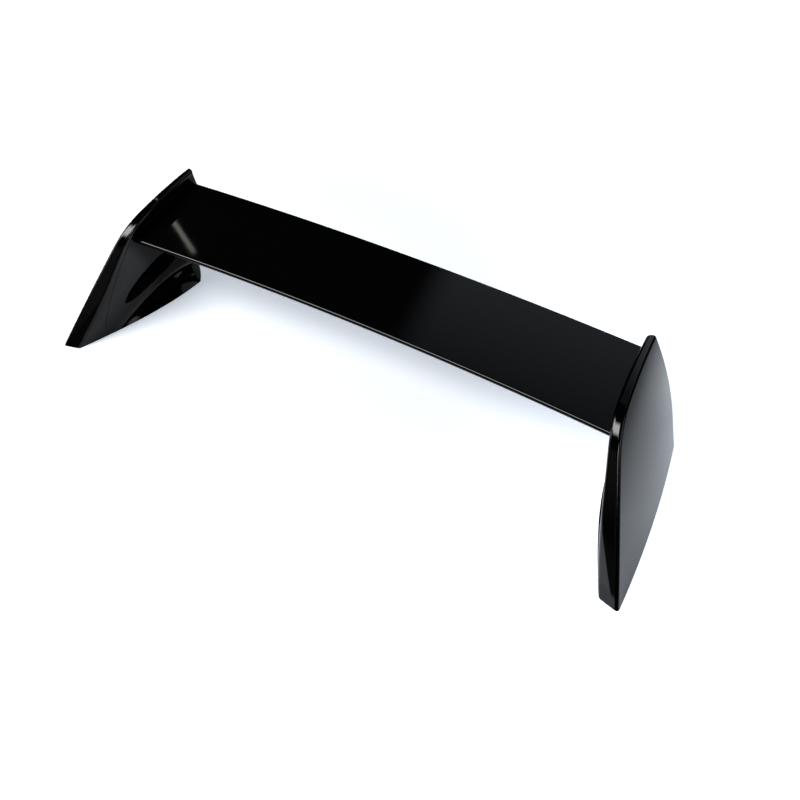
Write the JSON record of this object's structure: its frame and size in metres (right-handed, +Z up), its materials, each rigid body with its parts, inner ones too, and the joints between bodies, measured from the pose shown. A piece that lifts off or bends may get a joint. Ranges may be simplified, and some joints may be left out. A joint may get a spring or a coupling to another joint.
{
  "type": "car rear spoiler",
  "caption": "Gloss black car rear spoiler: a slim bowed wing blade held between leaning uprights with flared feet that bolt to a boot lid.",
  "frame": {"origin": "middle of the footprint on the plane that the feet stand on", "axes": "+X along the blade towards the right-hand upright seen from the front, +Y to the rear, +Z up"},
  "size_m": [1.2, 0.3863, 0.2656],
  "materials": {
    "gloss_black": "high gloss black lacquer over moulded plastic",
    "insert_brass": "turned brass"
  },
  "bodies": {
    "root": {"wing_blade": "gloss_black", "left_upright": "gloss_black", "right_upright": "gloss_black", "insert_left_front": "insert_brass", "insert_left_rear": "insert_brass", "insert_right_front": "insert_brass", "insert_right_rear": "insert_brass"}
  },
  "joints": []
}
